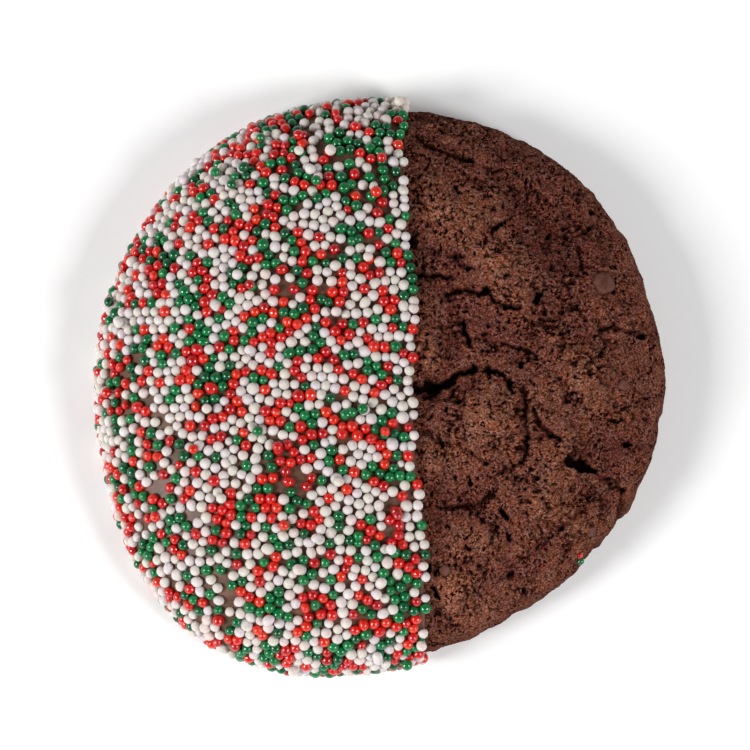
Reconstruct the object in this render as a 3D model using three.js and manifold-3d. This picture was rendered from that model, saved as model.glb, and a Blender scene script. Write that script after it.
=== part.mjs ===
// A round dark chocolate biscuit. Its left part, seen from above, is dipped in chocolate and
// covered with nonpareils, which are sugar balls about 1.4 mm across.
// Millimetres, +Z up, +Y away from the viewer. The origin is under the middle, on the surface
// that the dipped part rests on.

import * as THREE from "three";
import { mergeVertices } from "three/addons/utils/BufferGeometryUtils.js";
import Module from "manifold-3d";

const wasm = await Module();
wasm.setup();

// Bare biscuit: its outline is a circle with a few broad waves, each highest in its direction.
const meanRadius = 38.7;
const outlineMiddle = { x: -0.17, y: 0.17 };
const outlineWaves = [
  { count: 2, depth: 1.16, highestAt: 47.0 },
  { count: 3, depth: 0.93, highestAt: -1.2 },
  { count: 4, depth: 0.45, highestAt: -33.5 },
  { count: 5, depth: 0.07, highestAt: 28.2 },
  { count: 6, depth: 0.21, highestAt: -6.4 },
];
const biscuitThickness = 15;
const footHeight = 2;
const footRounding = 1.3;
const domeFullness = 2.6;
const shoulderFullness = 1.9;

// Dip: chocolate with its layer of nonpareils, up to a nearly straight line across the biscuit.
const dipThickness = 1.4;
const underDipThickness = 1.2;
const clearGap = 0.3;
const dipEdgeX = 4.8;
const dipEdgeSlant = -0.042;
const dipEdgeWave = { depth: 0.4, length: 34 };
const ballRelief = { depth: 0.2, pitch: 5.2, crossShare: 0.7 };

// Lumps, hollows and cracks of the baked top. rise is above the dome, and below it if negative.
const lumps = [
  { x: 11.7, y: 21.9, radius: 4.6, rise: 1.0 },
  { x: 16.9, y: 15.1, radius: 3.8, rise: 0.9 },
  { x: 28.4, y: 0.4, radius: 4.6, rise: 0.8 },
  { x: 14.9, y: -6.7, radius: 5.0, rise: 1.2 },
  { x: 6.7, y: 1.8, radius: 2.6, rise: 0.7 },
  { x: 6.8, y: -11.8, radius: 3.0, rise: 0.7 },
  { x: 23.1, y: -16.9, radius: 4.2, rise: 0.7 },
  { x: 9.5, y: -29.3, radius: 4.2, rise: 0.9 },
  { x: 28.4, y: -21.4, radius: 3.4, rise: 0.6 },
  { x: 26.7, y: -8.8, radius: 2.4, rise: 0.6 },
  { x: 24.4, y: 18.1, radius: 4.6, rise: -0.9 },
  { x: 10.7, y: 10.5, radius: 3.6, rise: -0.9 },
  { x: 8.7, y: -1.4, radius: 2.6, rise: -0.8 },
  { x: 31.2, y: -10.5, radius: 3.0, rise: -0.6 },
  { x: 10.9, y: -17.2, radius: 3.2, rise: -0.6 },
  { x: -9.2, y: 18.5, radius: 8, rise: 0.5 },
  { x: -20.1, y: 3.4, radius: 7, rise: -0.5 },
  { x: -12.2, y: -14.6, radius: 8, rise: 0.5 },
  { x: -28.1, y: -12.6, radius: 6, rise: 0.3 },
];
const cracks = [
  { depth: 1.5, width: 1.1, path: [[4.7, -2.2], [9.0, -1.6], [11.8, 0.3], [16.2, 0.6], [17.9, -1.6]] },
  { depth: 1.3, width: 0.9, path: [[6.3, 13.5], [9.3, 11.5], [14.4, 11.0]] },
  { depth: 1.1, width: 0.7, path: [[19.8, -2.0], [19.2, -5.1], [20.0, -9.2]] },
];
const crackOverlap = 1.35;
const holes = [
  { x: 27.1, y: -12.4, length: 4.0, width: 1.7, depth: 2.2, turn: -22 },
  { x: 21.4, y: 10.7, length: 2.0, width: 1.1, depth: 1.4, turn: 55 },
  { x: 16.6, y: -18.8, length: 2.2, width: 1.0, depth: 1.3, turn: -40 },
  { x: 35.4, y: 6.2, length: 1.7, width: 1.1, depth: 1.0, turn: 25 },
];

// Chocolate chips baked flush into the top.
const chips = [
  { x: 30.7, y: 13.35, across: 3.6 },
  { x: 33.2, y: -1.0, across: 1.7 },
  { x: 28.9, y: -20.8, across: 1.8 },
  { x: 8.8, y: -26.6, across: 1.6 },
];
const chipFlatness = 0.55;
const chipProud = 0.12;

// Lumps fade out towards the foot by this power of the share out of the middle.
const lumpFade = 6;

// Fineness of the faceted skins
const biscuitCells = { cells: 40, footRings: 3 };
const dipOutsideCells = { cells: 34, footRings: 4 };
const dipInsideCells = { cells: 26, footRings: 3 };
const lozengeSides = 8;
const dipEdgeSteps = 56;
const blockMargin = 1.5;
const lumpRoom = 3;
const slopeStep = 0.5;
const mergeWithin = 1e-4;

const looks = {
  crumb: { color: 0x57302a, roughness: 0.95 },
  dipped: { color: 0x9c7a70, roughness: 0.5 },
  chip: { color: 0x5a3830, roughness: 0.6 },
};

const radians = THREE.MathUtils.degToRad;

function outlineRadius(turn) {
  return outlineWaves.reduce(
    (radius, wave) => radius + wave.depth * Math.cos(wave.count * (turn - radians(wave.highestAt))),
    meanRadius,
  );
}

function reliefAt(x, y) {
  return lumps.reduce((height, lump) => {
    const away = Math.hypot(x - lump.x, y - lump.y) / lump.radius;
    return height + lump.rise * Math.exp(-away * away);
  }, 0);
}

// How far out of the middle a point lies: 0 in the middle, 1 at the outline.
function shareOut(x, y) {
  const [outX, outY] = [x - outlineMiddle.x, y - outlineMiddle.y];
  return Math.hypot(outX, outY) / outlineRadius(Math.atan2(outY, outX));
}

// The outline stays as it is, because the lumps fade out before it.
function fadedRelief(x, y, share) {
  return reliefAt(x, y) * (1 - share ** lumpFade);
}

function topHeight(x, y) {
  const share = Math.min(shareOut(x, y), 1);
  const rise = (1 - share ** domeFullness) ** (1 / shoulderFullness);
  const dome = (biscuitThickness - footHeight) * rise;
  return underDipThickness + footHeight + dome + fadedRelief(x, y, share);
}

function topNormal(x, y) {
  const slopeX = (topHeight(x + slopeStep, y) - topHeight(x - slopeStep, y)) / (2 * slopeStep);
  const slopeY = (topHeight(x, y + slopeStep) - topHeight(x, y - slopeStep)) / (2 * slopeStep);
  return new THREE.Vector3(-slopeX, -slopeY, 1).normalize();
}

// A square grid of cells laid over the round top without a pole: the share out of the middle
// and the direction of one grid point, with u and v from -1 to 1.
function discPoint(u, v) {
  const quarter = Math.PI / 4;
  if (u === 0 && v === 0) return { share: 0, turn: 0 };
  if (Math.abs(u) >= Math.abs(v)) {
    return { share: Math.abs(u), turn: quarter * (v / u) + (u < 0 ? Math.PI : 0) };
  }
  return { share: Math.abs(v), turn: Math.PI / 2 - quarter * (u / v) + (v < 0 ? Math.PI : 0) };
}

// The heaped balls leave the dip's outside uneven, except underneath, where it stands.
function ballUnevenness(x, y, z) {
  const waves = (Math.PI * 2) / ballRelief.pitch;
  const ripple = Math.sin(x * waves + z) * Math.sin(y * waves - z);
  const crossRipple = Math.sin((x - y + z) * waves * ballRelief.crossShare);
  return ballRelief.depth * (ripple + crossRipple / 2);
}

// The biscuit's outside, grown by grow all round and by growUnder underneath, as one closed skin.
function skinSolid({ grow, growUnder, cells, footRings, unevenness = 0 }) {
  const footLevel = underDipThickness + footHeight;
  const underside = underDipThickness - growUnder;
  const domeHeight = biscuitThickness - footHeight + grow;
  const vertices = [];
  const triangles = [];
  const addPoint = (radius, turn, z) => {
    vertices.push(outlineMiddle.x + radius * Math.cos(turn), outlineMiddle.y + radius * Math.sin(turn), z);
    return vertices.length / 3 - 1;
  };
  const addQuad = (a, b, c, d) => triangles.push(a, b, c, a, c, d);

  // Dome: equal steps of swing from the middle of the top down to the widest line.
  const top = [];
  for (let row = 0; row <= cells; row += 1) {
    top.push([]);
    for (let column = 0; column <= cells; column += 1) {
      const { share: gridShare, turn } = discPoint((2 * column) / cells - 1, (2 * row) / cells - 1);
      const swing = (gridShare * Math.PI) / 2;
      const share = Math.sin(swing) ** (2 / domeFullness);
      const rise = Math.max(Math.cos(swing), 0) ** (2 / shoulderFullness);
      const radius = (outlineRadius(turn) + grow) * share;
      const x = outlineMiddle.x + radius * Math.cos(turn);
      const y = outlineMiddle.y + radius * Math.sin(turn);
      const bump = unevenness * ballUnevenness(x, y, footLevel + domeHeight * rise);
      const height = footLevel + domeHeight * rise + fadedRelief(x, y, share) + bump * (1 - share);
      top[row].push(addPoint(radius + bump * share, turn, height));
    }
  }
  for (let row = 0; row < cells; row += 1) {
    for (let column = 0; column < cells; column += 1) {
      addQuad(top[row][column], top[row][column + 1], top[row + 1][column + 1], top[row + 1][column]);
    }
  }

  // Foot: from the widest line round to the flat underside.
  let ring = rimOf(top, cells);
  const turns = ring.map((index) => {
    return Math.atan2(vertices[3 * index + 1] - outlineMiddle.y, vertices[3 * index] - outlineMiddle.x);
  });
  for (let step = 1; step <= footRings; step += 1) {
    const swing = (step / footRings) * (Math.PI / 2);
    const z = footLevel - (footLevel - underside) * Math.sin(swing);
    const below = turns.map((turn) => {
      return addPoint(outlineRadius(turn) + grow - footRounding * (1 - Math.cos(swing)), turn, z);
    });
    ring.forEach((index, place) => {
      const next = (place + 1) % ring.length;
      addQuad(index, below[place], below[next], ring[next]);
    });
    ring = below;
  }
  const middle = addPoint(0, 0, underside);
  ring.forEach((index, place) => triangles.push(index, middle, ring[(place + 1) % ring.length]));
  return solidFrom(vertices, triangles);
}

// The outermost points of the grid, in order round the rim.
function rimOf(grid, cells) {
  const rim = [];
  for (let step = 0; step < cells; step += 1) rim.push(grid[0][step]);
  for (let step = 0; step < cells; step += 1) rim.push(grid[step][cells]);
  for (let step = 0; step < cells; step += 1) rim.push(grid[cells][cells - step]);
  for (let step = 0; step < cells; step += 1) rim.push(grid[cells - step][0]);
  return rim;
}

function solidFrom(vertices, triangles) {
  const vertProperties = new Float32Array(vertices);
  const triVerts = new Uint32Array(triangles);
  return new wasm.Manifold(new wasm.Mesh({ numProp: 3, vertProperties, triVerts }));
}

function solidFromGeometry(geometry) {
  geometry.deleteAttribute("normal");
  geometry.deleteAttribute("uv");
  const merged = mergeVertices(geometry, mergeWithin);
  return solidFrom(merged.attributes.position.array, merged.index.array);
}

function geometryFromSolid(solid) {
  const mesh = solid.getMesh();
  const geometry = new THREE.BufferGeometry();
  geometry.setAttribute("position", new THREE.BufferAttribute(mesh.vertProperties, 3));
  geometry.setIndex(new THREE.BufferAttribute(mesh.triVerts, 1));
  geometry.computeVertexNormals();
  return geometry;
}

// Everything on the dipped side of the wavy edge line, as a tall block.
function dippedSide() {
  const reach = meanRadius * blockMargin;
  const outline = new THREE.Shape();
  outline.moveTo(-reach, reach);
  outline.lineTo(-reach, -reach);
  for (let step = 0; step <= dipEdgeSteps; step += 1) {
    const y = -reach + (2 * reach * step) / dipEdgeSteps;
    const wave = dipEdgeWave.depth * Math.sin((y * Math.PI * 2) / dipEdgeWave.length);
    outline.lineTo(dipEdgeX + dipEdgeSlant * y + wave, y);
  }
  const depth = biscuitThickness + 2 * dipThickness * blockMargin + lumpRoom;
  const block = new THREE.ExtrudeGeometry(outline, { depth, bevelEnabled: false });
  block.translate(0, 0, -dipThickness);
  return solidFromGeometry(block);
}

// A squashed ball lying in the skin at one point, turned to the skin there.
function lozenge({ x, y, length, width, depth, turn = 0, sink = 0 }) {
  const ball = new THREE.SphereGeometry(0.5, lozengeSides, lozengeSides / 2 + 1);
  ball.scale(length, depth, width);
  ball.rotateX(Math.PI / 2);
  ball.rotateZ(radians(turn));
  const normal = topNormal(x, y);
  const upright = new THREE.Quaternion().setFromUnitVectors(new THREE.Vector3(0, 0, 1), normal);
  ball.applyQuaternion(upright);
  const centre = new THREE.Vector3(x, y, topHeight(x, y)).addScaledVector(normal, -sink);
  ball.translate(centre.x, centre.y, centre.z);
  return solidFromGeometry(ball);
}

function chipSolid(chip, grow = 0) {
  const thickness = chip.across * chipFlatness;
  const sink = thickness / 2 - chipProud;
  const across = chip.across + 2 * grow;
  return lozenge({ x: chip.x, y: chip.y, length: across, width: across, depth: thickness + 2 * grow, sink });
}

function holeSolid(hole) {
  return lozenge({ ...hole, depth: hole.depth * 2 });
}

// A crack is a row of narrow lozenges from bend to bend.
function crackSolids(crack) {
  return crack.path.slice(1).map(([x, y], index) => {
    const [fromX, fromY] = crack.path[index];
    const length = Math.hypot(x - fromX, y - fromY) * crackOverlap;
    const turn = THREE.MathUtils.radToDeg(Math.atan2(y - fromY, x - fromX));
    const middle = { x: (x + fromX) / 2, y: (y + fromY) / 2 };
    return lozenge({ ...middle, length, width: crack.width, depth: crack.depth * 2, turn });
  });
}

function biscuitSolid() {
  const pockets = chips.map((chip) => chipSolid(chip, clearGap));
  const openings = [...pockets, ...holes.map(holeSolid), ...cracks.flatMap(crackSolids)];
  const whole = skinSolid({ grow: 0, growUnder: 0, ...biscuitCells });
  return openings.reduce((biscuit, opening) => biscuit.subtract(opening), whole);
}

function dipSolid() {
  const thickness = { grow: dipThickness, growUnder: underDipThickness };
  const outside = skinSolid({ ...thickness, ...dipOutsideCells, unevenness: 1 });
  const inside = skinSolid({ grow: clearGap, growUnder: clearGap, ...dipInsideCells });
  return outside.intersect(dippedSide()).subtract(inside);
}

function piece(name, solid, look) {
  const material = new THREE.MeshStandardMaterial({ ...look, metalness: 0 });
  const mesh = new THREE.Mesh(geometryFromSolid(solid), material);
  mesh.name = name;
  return mesh;
}

const dippedBiscuit = new THREE.Group();
dippedBiscuit.add(piece("biscuit", biscuitSolid(), looks.crumb));
dippedBiscuit.add(piece("sprinkled_dip", dipSolid(), looks.dipped));
chips.forEach((chip, index) => {
  dippedBiscuit.add(piece(`chocolate_chip_${index + 1}`, chipSolid(chip), looks.chip));
});

export default dippedBiscuit;
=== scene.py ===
# A round chocolate biscuit, half dipped in chocolate and rolled in red, white and green sugar balls.
import bpy
import bmesh
import math
import numpy as np
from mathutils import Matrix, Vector
from mathutils.bvhtree import BVHTree
from mathutils.kdtree import KDTree


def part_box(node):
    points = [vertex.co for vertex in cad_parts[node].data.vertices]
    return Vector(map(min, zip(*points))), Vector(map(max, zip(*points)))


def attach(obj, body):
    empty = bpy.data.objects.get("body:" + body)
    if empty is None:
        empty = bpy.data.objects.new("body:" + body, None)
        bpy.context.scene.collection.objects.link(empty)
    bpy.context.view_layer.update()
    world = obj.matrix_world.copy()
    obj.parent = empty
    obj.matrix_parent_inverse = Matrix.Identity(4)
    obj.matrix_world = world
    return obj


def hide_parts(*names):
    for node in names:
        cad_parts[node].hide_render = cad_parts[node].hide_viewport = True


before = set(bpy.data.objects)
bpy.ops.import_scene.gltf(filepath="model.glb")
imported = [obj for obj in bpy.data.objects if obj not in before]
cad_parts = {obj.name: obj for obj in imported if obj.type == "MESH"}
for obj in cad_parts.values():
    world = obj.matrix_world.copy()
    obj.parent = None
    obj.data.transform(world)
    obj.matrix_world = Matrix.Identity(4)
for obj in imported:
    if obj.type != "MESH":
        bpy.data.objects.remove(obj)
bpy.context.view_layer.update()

scene = bpy.context.scene
scene.view_settings.view_transform = "Standard"
mm = 0.001

# the baked shape, in millimetres, the same as the solid biscuit
baked = {
    "meanRadius": 38.7, "middle": (-0.17, 0.17),
    # how many waves round the outline, how deep, and the direction of one crest in degrees
    "outlineWaves": ((2, 1.16, 47), (3, 0.93, -1.2), (4, 0.45, -33.5), (5, 0.07, 28.2), (6, 0.21, -6.4)),
    "thickness": 15, "footHeight": 2,
    "footRounding": 1.3,
    "domeFullness": 2.6, "shoulderFullness": 1.9,
    "undersideLevel": 1.2,
    "lumpFade": 6,              # the lumps fade out towards the foot
    # x, y, radius and rise of the lumps, and of the hollows with a negative rise
    "lumps": (
        (11.7, 21.9, 4.6, 1), (16.9, 15.1, 3.8, 0.9), (28.4, 0.4, 4.6, 0.8), (14.9, -6.7, 5, 1.2),
        (6.7, 1.8, 2.6, 0.7), (6.8, -11.8, 3, 0.7), (23.1, -16.9, 4.2, 0.7), (9.5, -29.3, 4.2, 0.9),
        (28.4, -21.4, 3.4, 0.6), (26.7, -8.8, 2.4, 0.6), (24.4, 18.1, 4.6, -0.9), (10.7, 10.5, 3.6, -0.9),
        (8.7, -1.4, 2.6, -0.8), (31.2, -10.5, 3, -0.6), (10.9, -17.2, 3.2, -0.6), (-9.2, 18.5, 8, 0.5),
        (-20.1, 3.4, 7, -0.5), (-12.2, -14.6, 8, 0.5), (-28.1, -12.6, 6, 0.3),
    ),
}

# where the dip ends: a nearly straight line across the biscuit, with a slow wave
dipLine = {
    "x": 4.8, "slant": -0.042,
    "waveDepth": 0.4, "waveLength": 34,
    "wobble": 0.22, "wobbleSize": 3.4,
}
tiny = 1e-9  # keeps a division from being by nothing


def smoothStep(low, high, value):
    share = np.clip((value - low) / (high - low), 0, 1)
    return share * share * (3 - 2 * share)


def latticeHash(cell, shuffled):
    mixed = shuffled[cell[:, 0] & 255]
    mixed = shuffled[(mixed + cell[:, 1]) & 255]
    return shuffled[(mixed + cell[:, 2]) & 255]


def softNoise(points, size, seed):
    # smooth noise from about -1 to 1, with one bump every size millimetres
    rng = np.random.default_rng(seed)
    slopes = rng.normal(size=(256, 3))
    slopes /= np.linalg.norm(slopes, axis=1)[:, None]
    shuffled = rng.permutation(256)
    scaled = points / size
    cell = np.floor(scaled).astype(int)
    inside = scaled - cell
    fade = inside ** 3 * (inside * (inside * 6 - 15) + 10)
    total = np.zeros(len(points))
    for corner in np.ndindex(2, 2, 2):
        step = np.array(corner)
        slope = slopes[latticeHash(cell + step, shuffled)]
        weight = np.prod(np.where(step == 1, fade, 1 - fade), axis=1)
        total += weight * np.einsum("ij,ij->i", slope, inside - step)
    spread = 1.7
    return total * spread


def layeredNoise(points, size, seed, layers=3):
    return sum(softNoise(points, size / 2 ** n, seed + n) / 2 ** n for n in range(layers))


def grainNoise(points, size, seed):
    # distance to the nearest and the second nearest of grains scattered size millimetres apart
    rng = np.random.default_rng(seed)
    places = rng.random((256, 3))
    shuffled = rng.permutation(256)
    scaled = points / size
    cell = np.floor(scaled).astype(int)
    first = second = np.full(len(points), np.inf)
    for corner in np.ndindex(3, 3, 3):
        step = np.array(corner) - 1
        place = places[latticeHash(cell + step, shuffled)] + cell + step
        away = np.linalg.norm(place - scaled, axis=1)
        second = np.minimum(second, np.maximum(away, first))
        first = np.minimum(first, away)
    return first, second


def outlineRadius(turn):
    radius = np.full_like(turn, baked["meanRadius"])
    for count, depth, crest in baked["outlineWaves"]:
        radius += depth * np.cos(count * (turn - math.radians(crest)))
    return radius


def lumpRelief(x, y):
    height = np.zeros_like(x)
    for lumpX, lumpY, radius, rise in baked["lumps"]:
        height += rise * np.exp(-((x - lumpX) ** 2 + (y - lumpY) ** 2) / radius ** 2)
    return height


def topHeight(x, y):
    outX, outY = x - baked["middle"][0], y - baked["middle"][1]
    share = np.minimum(np.hypot(outX, outY) / outlineRadius(np.arctan2(outY, outX)), 1)
    rise = (1 - share ** baked["domeFullness"]) ** (1 / baked["shoulderFullness"])
    footLevel = baked["undersideLevel"] + baked["footHeight"]
    domed = footLevel + (baked["thickness"] - baked["footHeight"]) * rise
    return domed + lumpRelief(x, y) * (1 - share ** baked["lumpFade"])


def dipEdge(points):
    # x of the dip's edge beside each point
    y = points[:, 1]
    edge = dipLine["x"] + dipLine["slant"] * y
    edge = edge + dipLine["waveDepth"] * np.sin(y * 2 * math.pi / dipLine["waveLength"])
    across = points * (0, 1, 1)
    return edge + dipLine["wobble"] * layeredNoise(across, dipLine["wobbleSize"], seed=31, layers=2)


def evenSwing():
    # turns equal steps along the dome's profile into swings from its top to its widest line
    steps = 400
    swing = np.linspace(0, math.pi / 2, steps)
    across = baked["meanRadius"] * np.sin(swing) ** (2 / baked["domeFullness"])
    height = baked["thickness"] * np.cos(swing) ** (2 / baked["shoulderFullness"])
    length = np.concatenate(([0], np.cumsum(np.hypot(np.diff(across), np.diff(height)))))
    return length / length[-1], swing


profileLength, profileSwing = evenSwing()


def skinPoints(square, grow, growUnder):
    # u and v run over a square that covers the round biscuit; w is 1 on top, 0 underneath, and
    # between them round the foot
    u, v, w = square.T
    upright = np.abs(v) > np.abs(u)
    major, minor = np.where(upright, v, u), np.where(upright, u, v)
    share = np.abs(major)
    ratio = np.divide(minor, major, out=np.zeros_like(minor), where=share > tiny) * math.pi / 4
    turn = np.where(upright, math.pi / 2 - ratio, ratio) + np.where(major < 0, math.pi, 0)
    reach = outlineRadius(turn) + grow
    swing = np.interp(share, profileLength, profileSwing)
    across = np.sin(swing) ** (2 / baked["domeFullness"])
    rise = np.maximum(np.cos(swing), 0) ** (2 / baked["shoulderFullness"])
    footLevel = baked["undersideLevel"] + baked["footHeight"]
    underside = baked["undersideLevel"] - growUnder
    footSwing = (1 - w) * math.pi / 2
    onTop, under = w >= 1, w <= 0
    rounding = baked["footRounding"]
    radius = np.where(onTop, reach * across, reach - rounding * (1 - np.cos(footSwing)))
    radius = np.where(under, (reach - rounding) * share, radius)
    x = baked["middle"][0] + radius * np.cos(turn)
    y = baked["middle"][1] + radius * np.sin(turn)
    domed = footLevel + (baked["thickness"] - baked["footHeight"] + grow) * rise
    domed = domed + lumpRelief(x, y) * (1 - across ** baked["lumpFade"])
    z = np.where(onTop, domed, footLevel - (footLevel - underside) * np.sin(footSwing))
    return np.stack((x, y, np.where(under, underside, z)), axis=1)


def squareGrid(cells, footRows):
    # a closed box of square cells: a top, a bottom and the foot's rows between them
    steps = np.linspace(-1, 1, cells + 1)
    sheet = np.array([(u, v) for v in steps for u in steps])
    top = np.column_stack((sheet, np.ones(len(sheet))))
    bottom = np.column_stack((sheet, np.zeros(len(sheet))))
    line = cells + 1
    sides = ((0, 1), (cells, line), (cells * line + cells, -1), (cells * line, -line))
    rim = [corner + n * step for corner, step in sides for n in range(cells)]
    places = [top, bottom]
    rings = [rim]
    count = 2 * len(sheet)
    for row in range(1, footRows):
        ring = top[rim]
        ring[:, 2] = 1 - row / footRows
        places.append(ring)
        rings.append(list(range(count, count + len(rim))))
        count += len(rim)
    rings.append([n + len(sheet) for n in rim])
    faces = []
    for a in (row * line + column for row in range(cells) for column in range(cells)):
        faces.append((a, a + 1, a + line + 1, a + line))
        b = a + len(sheet)
        faces.append((b, b + line, b + line + 1, b + 1))
    for upper, lower in zip(rings, rings[1:]):
        for n in range(len(rim)):
            after = (n + 1) % len(rim)
            faces.append((upper[n], lower[n], lower[after], upper[after]))
    return np.concatenate(places), faces


def readVectors(items, name):
    values = np.empty(len(items) * 3, np.float32)
    items.foreach_get(name, values)
    return values.reshape(-1, 3).astype(float)


def coordinates(mesh):
    return readVectors(mesh.vertices, "co")


def vertexNormals(mesh):
    return readVectors(mesh.vertex_normals, "vector")


def setCoordinates(mesh, points):
    mesh.vertices.foreach_set("co", points.astype(np.float32).ravel())
    mesh.update()


def addObject(name, data):
    added = bpy.data.objects.new(name, data)
    scene.collection.objects.link(added)
    return added


def finishPiece(name, mesh, material, replaced=()):
    # millimetres to metres, smooth shading, and the piece goes with the CAD's one body
    setCoordinates(mesh, coordinates(mesh) * mm)
    mesh.shade_smooth()
    piece = addObject(name, mesh)
    mesh.materials.append(material)
    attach(piece, "root")
    if replaced:
        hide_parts(*replaced)


def newMaterial(name):
    material = bpy.data.materials.new(name)
    material.use_nodes = True
    return material, material.node_tree, material.node_tree.nodes["Principled BSDF"]


def setInputs(node, values):
    for name, value in values.items():
        node.inputs[name].default_value = value


def paint(tree, shader, look, colour, relief):
    tree.links.new(colour, shader.inputs["Base Color"])
    tree.links.new(relief, shader.inputs["Normal"])
    setInputs(shader, {"Roughness": look["roughness"], "Specular IOR Level": look["shine"]})


def srgb(red, green, blue):
    # a colour as it is picked on screen, 0 to 255, made linear
    shares = (red / 255, green / 255, blue / 255)
    linear = [share / 12.92 if share <= 0.04 else ((share + 0.055) / 1.055) ** 2.4 for share in shares]
    return (*linear, 1.0)


def grey(level):
    return (level, level, level, 1)


def addNoise(tree, sizeMm, detail=3.0, roughness=0.55):
    where = tree.nodes.new("ShaderNodeTexCoord")
    noise = tree.nodes.new("ShaderNodeTexNoise")
    setInputs(noise, {"Scale": 1 / (sizeMm * mm), "Detail": detail, "Roughness": roughness})
    tree.links.new(where.outputs["Object"], noise.inputs["Vector"])
    return noise.outputs["Fac"]


def addRamp(tree, source, *stops):
    ramp = tree.nodes.new("ShaderNodeValToRGB")
    elements = ramp.color_ramp.elements
    while len(elements) < len(stops):
        elements.new(0.5)
    for element, (position, colour) in zip(elements, stops):
        element.position = position
        element.color = colour
    tree.links.new(source, ramp.inputs["Fac"])
    return ramp.outputs["Color"]


def addMix(tree, factor, first, second, blend="MIX"):
    mix = tree.nodes.new("ShaderNodeMix")
    mix.data_type = "RGBA"
    mix.blend_type = blend
    for socket, value in ((mix.inputs[0], factor), (mix.inputs[6], first), (mix.inputs[7], second)):
        if isinstance(value, bpy.types.NodeSocket):
            tree.links.new(value, socket)
        else:
            socket.default_value = value
    return mix.outputs[2]


def addBump(tree, height, strength, distanceMm, under=None):
    bump = tree.nodes.new("ShaderNodeBump")
    setInputs(bump, {"Strength": strength, "Distance": distanceMm * mm})
    tree.links.new(height, bump.inputs["Height"])
    if under:
        tree.links.new(under, bump.inputs["Normal"])
    return bump.outputs["Normal"]


def addAttribute(tree, name):
    attribute = tree.nodes.new("ShaderNodeAttribute")
    attribute.attribute_name = name
    return attribute.outputs["Fac"]


def storeAttribute(mesh, name, values):
    mesh.attributes.new(name, "FLOAT", "POINT").data.foreach_set("value", values.astype(np.float32))


view = {
    "leanDegrees": 8,           # off straight down, towards the viewer
    "distance": 0.9,
    "sensorWidth": 36,
    "framedWidthMm": 102.4,     # what the square picture spans
    "aimMm": (-0.68, 0.80, 8),
    "seenMiddleMm": (-0.41, 1.37),  # of the picture, as seen places are counted
}


def addCamera():
    data = bpy.data.cameras.new("camera")
    data.sensor_width = view["sensorWidth"]
    data.lens = data.sensor_width * view["distance"] / (view["framedWidthMm"] * mm)
    camera = addObject("camera", data)
    scene.camera = camera
    lean = math.radians(view["leanDegrees"])
    aim = Vector(view["aimMm"]) * mm
    camera.location = aim + Vector((0, -math.sin(lean), math.cos(lean))) * view["distance"]
    camera.rotation_euler = (lean, 0, 0)


studio = {
    # name, turn in degrees from +X, height in degrees, width and watts
    "softboxes": (("left softbox", -161, 34, 0.38, 10.2), ("right softbox", -31, 42, 0.32, 6.8)),
    "softboxDistance": 1.1,
    # the pale room: shares of the height, and how bright it is there
    "roomTones": ((0.35, grey(0.31)), (0.9, grey(0.07))),
    "floorSize": 4, "floorTone": 0.93,
    "floorRoughness": 0.9, "floorGlow": 0.16,
}


def addStudio():
    for name, turn, height, wide, watts in studio["softboxes"]:
        data = bpy.data.lights.new(name, "AREA")
        data.shape = "SQUARE"
        data.size = wide
        data.energy = watts
        light = addObject(name, data)
        turn, height = math.radians(turn), math.radians(height)
        towards = (math.cos(height) * math.cos(turn), math.cos(height) * math.sin(turn), math.sin(height))
        light.location = np.array(towards) * studio["softboxDistance"]
        light.rotation_euler = (-light.location).to_track_quat("-Z", "Y").to_euler()
    world = bpy.data.worlds.new("studio")
    world.use_nodes = True
    tree = world.node_tree
    direction = tree.nodes.new("ShaderNodeTexCoord")
    parts = tree.nodes.new("ShaderNodeSeparateXYZ")
    tree.links.new(direction.outputs["Generated"], parts.inputs["Vector"])
    shade = addRamp(tree, parts.outputs["Z"], *studio["roomTones"])
    tree.links.new(shade, tree.nodes["Background"].inputs["Color"])
    scene.world = world


def addFloor():
    bpy.ops.mesh.primitive_plane_add(size=studio["floorSize"], location=(0, 0, 0))
    floor = bpy.context.object
    floor.name = "floor"
    material, tree, shader = newMaterial("pale floor")
    setInputs(shader, {"Base Color": grey(studio["floorTone"]), "Roughness": studio["floorRoughness"],
                       "Emission Color": grey(1), "Emission Strength": studio["floorGlow"]})
    floor.data.materials.append(material)


addCamera()
addStudio()
addFloor()
print("camera, light and floor placed")

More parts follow.
